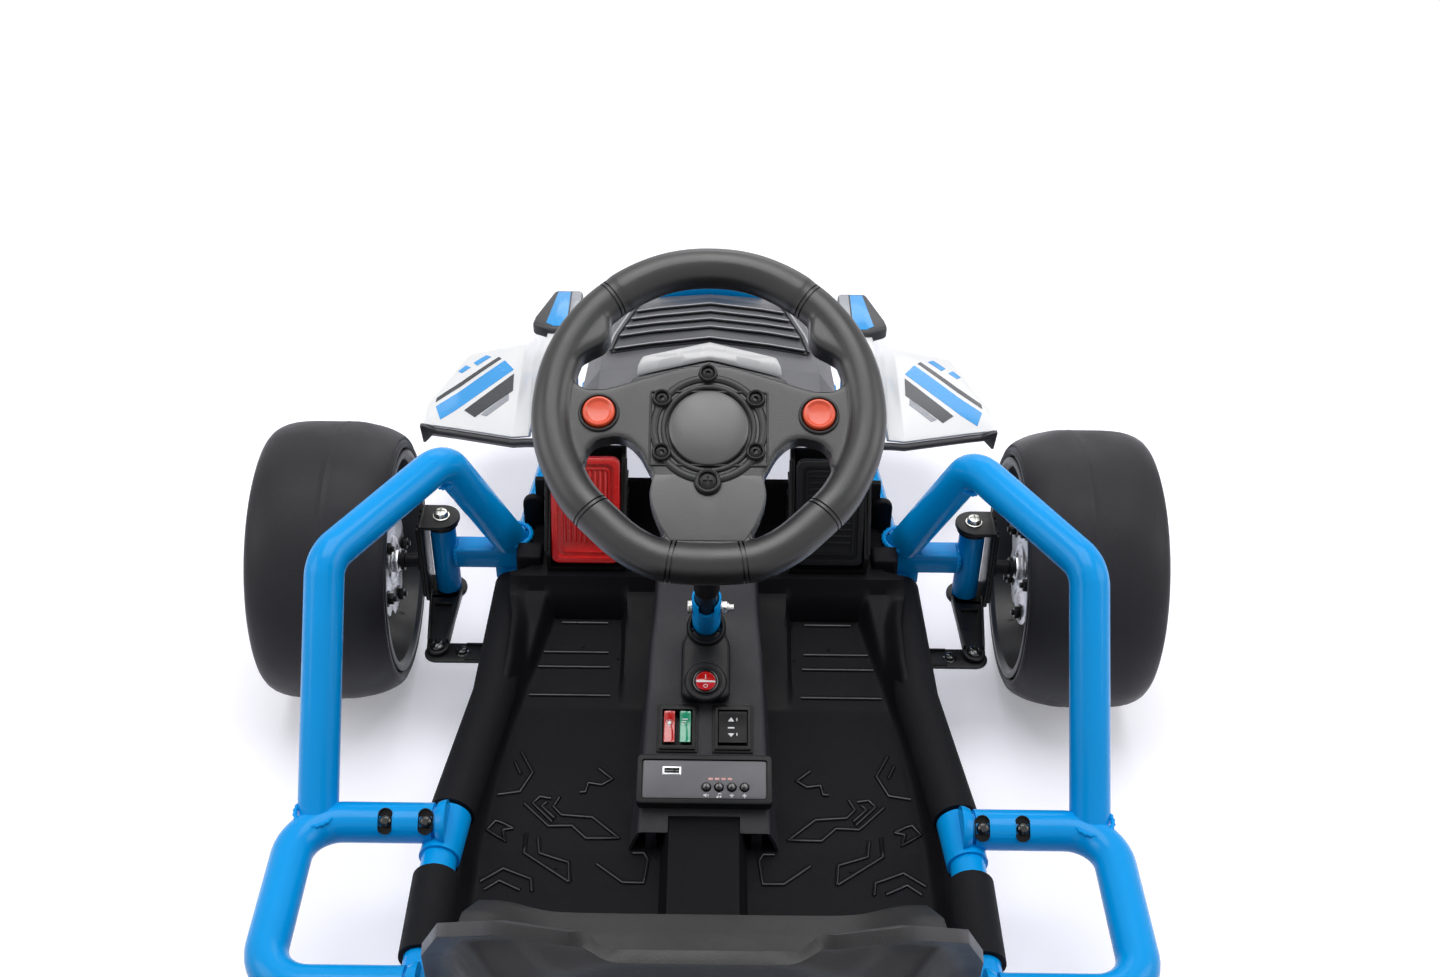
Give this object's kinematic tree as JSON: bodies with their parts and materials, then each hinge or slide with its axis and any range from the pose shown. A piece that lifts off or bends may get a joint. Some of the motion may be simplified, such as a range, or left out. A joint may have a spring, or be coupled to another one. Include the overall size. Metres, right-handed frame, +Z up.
{
  "type": "kids electric drift go-kart",
  "caption": "Low ride-on kart with tube frame, steered front wheels, bucket seat, foot pedals, console switches and white nose fairing.",
  "frame": {"origin": "on the ground under the middle of the kart's bounding box", "axes": "+Y towards the nose, +X to the driver's right, +Z up"},
  "size_m": [0.81, 1.2, 0.6187],
  "materials": {
    "frame_blue": "gloss powder coat",
    "black_steel": "satin black paint",
    "black_plastic": "satin, lightly grained",
    "gloss_black": "gloss",
    "foam": "matt foam sleeve",
    "tyre_black": "slick, matt",
    "zinc": "zinc plated",
    "silver": "satin",
    "red": "gloss",
    "green": "gloss",
    "white": "gloss",
    "grey": "satin, grained"
  },
  "bodies": {
    "chassis": {"main_frame": "frame_blue", "side_bar_left": "frame_blue", "side_bar_right": "frame_blue", "foam_sleeve_left": "foam", "foam_sleeve_right": "foam", "floor_pan": "black_plastic", "console_cover": "black_plastic", "column_boot": "black_plastic", "power_bezel": "gloss_black", "rocker_bezel": "gloss_black", "direction_bezel": "gloss_black", "media_box": "black_plastic", "usb_port": "silver", "pedal_frame_left": "black_plastic", "pedal_frame_right": "black_plastic", "front_fairing": "white", "fairing_trim": "grey", "dash_body": "grey", "louvre_panel": "black_plastic", "hood_crest": "white", "seat_shell": "black_plastic", "seat_rail": "black_steel", "battery_pack": "black_plastic", "motor_controller": "silver", "gearbox_left": "black_plastic", "gearbox_right": "black_plastic", "rear_axle": "zinc", "rear_bumper": "frame_blue"},
    "steering": {"steering_column": "frame_blue", "steering_shaft": "black_plastic", "column_bolt": "zinc", "steering_wheel": "black_plastic", "hub_cap": "black_plastic"},
    "knuckle_left": {"knuckle_left": "black_steel", "kingpin_left": "zinc"},
    "knuckle_right": {"knuckle_right": "black_steel", "kingpin_right": "zinc"},
    "track_rod": {"track_rod": "black_steel"},
    "wheel_front_left": {"tyre_front_left": "tyre_black", "rim_front_left": "black_plastic", "hub_disc_left": "silver"},
    "wheel_rear_left": {"tyre_rear_left": "tyre_black", "rim_rear_left": "black_plastic"},
    "wheel_button_left": {"wheel_button_left": "red"},
    "wheel_front_right": {"tyre_front_right": "tyre_black", "rim_front_right": "black_plastic", "hub_disc_right": "silver"},
    "wheel_rear_right": {"tyre_rear_right": "tyre_black", "rim_rear_right": "black_plastic"},
    "wheel_button_right": {"wheel_button_right": "red"},
    "brake_pedal": {"brake_pedal": "red"},
    "accelerator_pedal": {"accelerator_pedal": "black_plastic"},
    "power_rocker": {"power_rocker": "red"},
    "light_rocker": {"light_rocker": "red"},
    "speed_rocker": {"speed_rocker": "green"},
    "direction_rocker": {"direction_rocker": "gloss_black"},
    "music_button_1": {"music_button_1": "gloss_black"},
    "music_button_2": {"music_button_2": "gloss_black"},
    "music_button_3": {"music_button_3": "gloss_black"},
    "music_button_4": {"music_button_4": "gloss_black"}
  },
  "joints": [
    {"name": "steer", "type": "hinge", "parent": "chassis", "child": "steering", "pos_m": [0, 0.077, 0.17], "axis": [0, -0.5225, 0.8526], "range_deg": [-40, 40]},
    {"name": "steer_knuckle_left", "type": "hinge", "parent": "chassis", "child": "knuckle_left", "pos_m": [-0.2455, 0.21, 0.13], "axis": [0, 0, 1], "range_deg": [-24, 24]},
    {"name": "spin_front_left", "type": "hinge", "parent": "knuckle_left", "child": "wheel_front_left", "pos_m": [-0.3375, 0.21, 0.13], "axis": [1, 0, 0], "continuous": true},
    {"name": "spin_rear_left", "type": "hinge", "parent": "chassis", "child": "wheel_rear_left", "pos_m": [-0.3375, -0.43, 0.13], "axis": [1, 0, 0], "continuous": true},
    {"name": "steer_knuckle_right", "type": "hinge", "parent": "chassis", "child": "knuckle_right", "pos_m": [0.2455, 0.21, 0.13], "axis": [0, 0, 1], "range_deg": [-24, 24]},
    {"name": "spin_front_right", "type": "hinge", "parent": "knuckle_right", "child": "wheel_front_right", "pos_m": [0.3375, 0.21, 0.13], "axis": [1, 0, 0], "continuous": true},
    {"name": "spin_rear_right", "type": "hinge", "parent": "chassis", "child": "wheel_rear_right", "pos_m": [0.3375, -0.43, 0.13], "axis": [1, 0, 0], "continuous": true},
    {"name": "rod_follow", "type": "hinge", "parent": "knuckle_left", "child": "track_rod", "pos_m": [-0.2455, 0.128, 0.0929], "axis": [0, 0, 1], "range_deg": [-24, 24]},
    {"name": "press_brake", "type": "hinge", "parent": "chassis", "child": "brake_pedal", "pos_m": [-0.11, 0.176, 0.17], "axis": [-1, 0, 0], "range_deg": [0, 12], "stiffness_Nm_per_rad": 2, "springref_deg": -8.59},
    {"name": "press_accelerator", "type": "hinge", "parent": "chassis", "child": "accelerator_pedal", "pos_m": [0.11, 0.176, 0.17], "axis": [-1, 0, 0], "range_deg": [0, 12], "stiffness_Nm_per_rad": 2, "springref_deg": -8.59},
    {"name": "rock_light", "type": "hinge", "parent": "chassis", "child": "light_rocker", "pos_m": [-0.0293, -0.01587, 0.14461], "axis": [1, 0, 0], "range_deg": [-8, 8]},
    {"name": "rock_speed", "type": "hinge", "parent": "chassis", "child": "speed_rocker", "pos_m": [-0.0167, -0.01587, 0.14461], "axis": [1, 0, 0], "range_deg": [-8, 8]},
    {"name": "rock_direction", "type": "hinge", "parent": "chassis", "child": "direction_rocker", "pos_m": [0.023, -0.01587, 0.14461], "axis": [1, 0, 0], "range_deg": [-8, 8]},
    {"name": "rock_power", "type": "hinge", "parent": "chassis", "child": "power_rocker", "pos_m": [0, 0.01399, 0.16849], "axis": [1, 0, 0], "range_deg": [-8, 8]},
    {"name": "press_music_1", "type": "slide", "parent": "chassis", "child": "music_button_1", "axis": [0, 0.3633, -0.9317], "range_m": [0, 0.0012], "stiffness_N_per_m": 150, "springref_m": -0.001},
    {"name": "press_music_2", "type": "slide", "parent": "chassis", "child": "music_button_2", "axis": [0, 0.3633, -0.9317], "range_m": [0, 0.0012], "stiffness_N_per_m": 150, "springref_m": -0.001},
    {"name": "press_music_3", "type": "slide", "parent": "chassis", "child": "music_button_3", "axis": [0, 0.3633, -0.9317], "range_m": [0, 0.0012], "stiffness_N_per_m": 150, "springref_m": -0.001},
    {"name": "press_music_4", "type": "slide", "parent": "chassis", "child": "music_button_4", "axis": [0, 0.3633, -0.9317], "range_m": [0, 0.0012], "stiffness_N_per_m": 150, "springref_m": -0.001},
    {"name": "press_wheel_left", "type": "slide", "parent": "steering", "child": "wheel_button_left", "axis": [0, 0.5225, -0.8526], "range_m": [0, 0.002], "stiffness_N_per_m": 150, "springref_m": -0.001},
    {"name": "press_wheel_right", "type": "slide", "parent": "steering", "child": "wheel_button_right", "axis": [0, 0.5225, -0.8526], "range_m": [0, 0.002], "stiffness_N_per_m": 150, "springref_m": -0.001}
  ],
  "couplings": [
    {"joint": "steer_knuckle_left", "follows": "steer", "ratio": 0.6},
    {"joint": "steer_knuckle_right", "follows": "steer", "ratio": 0.6},
    {"joint": "rod_follow", "follows": "steer", "ratio": -0.6}
  ]
}
